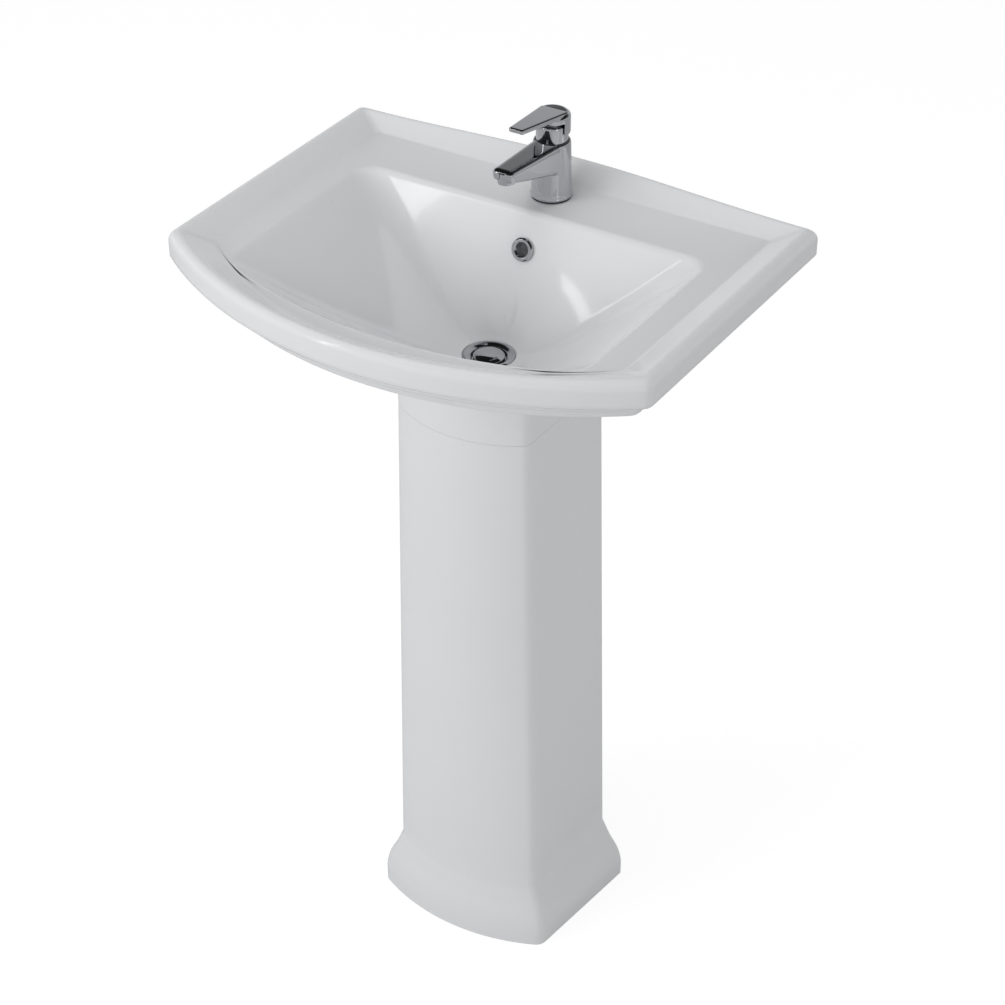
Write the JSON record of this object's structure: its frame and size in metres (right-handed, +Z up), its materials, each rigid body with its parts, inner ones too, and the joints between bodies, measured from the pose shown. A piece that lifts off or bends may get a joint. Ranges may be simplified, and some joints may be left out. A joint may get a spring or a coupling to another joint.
{
  "type": "pedestal sink",
  "caption": "White bow-fronted china wash basin on a hollow pedestal with a flared plinth, with a single-lever mixer tap, a push-to-open waste, an overflow and a bottle trap.",
  "frame": {"origin": "on the floor, under the middle of the basin's width and depth", "axes": "+Z up, +X to the user's right, -Y towards the user; the wall is at the back, +Y"},
  "size_m": [0.5698, 0.445, 0.9947],
  "materials": {
    "china_white": "gloss white glaze",
    "chrome": "polished",
    "brass": "plain",
    "steel": "bright zinc",
    "black_rubber": "matt",
    "white_plastic": "satin",
    "cartridge_plastic": "satin",
    "indicator_red": "gloss"
  },
  "bodies": {
    "sink": {"basin": "china_white", "pedestal": "china_white", "tap_body": "chrome", "cartridge_cover": "chrome", "aerator_housing": "chrome", "overflow_ring": "chrome", "waste_body": "chrome", "trap_inlet_tube": "chrome", "trap_coupling_nut": "chrome", "trap_body": "chrome", "trap_top_nut": "chrome", "trap_cup": "chrome", "outlet_pipe": "chrome", "outlet_nut": "chrome", "wall_flange": "chrome", "cartridge_nut": "brass", "stud_nut": "brass", "hot_inlet": "brass", "cold_inlet": "brass", "waste_backnut": "brass", "clamp_plate": "steel", "tap_stud": "steel", "plug_spring": "steel", "wall_bolt_left": "steel", "wall_bolt_right": "steel", "wall_nut_left": "steel", "wall_nut_right": "steel", "floor_screw_left": "steel", "floor_screw_right": "steel", "tap_base_seal": "black_rubber", "clamp_rubber": "black_rubber", "waste_bottom_seal": "black_rubber", "trap_inlet_washer": "black_rubber", "trap_cup_seal": "black_rubber", "aerator_insert": "white_plastic", "plug_guide": "white_plastic", "bolt_sleeve_left": "white_plastic", "bolt_sleeve_right": "white_plastic", "floor_washer_left": "white_plastic", "floor_washer_right": "white_plastic", "cartridge": "cartridge_plastic"},
    "mixer_swivel": {"swivel_carrier": "white_plastic", "pivot_pin": "steel"},
    "lever": {"lever": "chrome", "lever_grub_screw": "steel", "indicator_plug": "indicator_red", "spindle": "brass"},
    "plug": {"plug_cap": "chrome", "plug_seal": "black_rubber", "plug_stem": "brass"}
  },
  "joints": [
    {"name": "lever_swivel", "type": "hinge", "parent": "sink", "child": "mixer_swivel", "pos_m": [0, 0.1659, 0.9549], "axis": [0, 0, 1], "range_deg": [-45, 45]},
    {"name": "lever_lift", "type": "hinge", "parent": "mixer_swivel", "child": "lever", "pos_m": [0, 0.1659, 0.9549], "axis": [-1, 0, 0], "range_deg": [0, 22]},
    {"name": "plug_slide", "type": "slide", "parent": "sink", "child": "plug", "axis": [0, 0, 1], "range_m": [0, 0.009], "deforming": ["plug_spring"]}
  ]
}
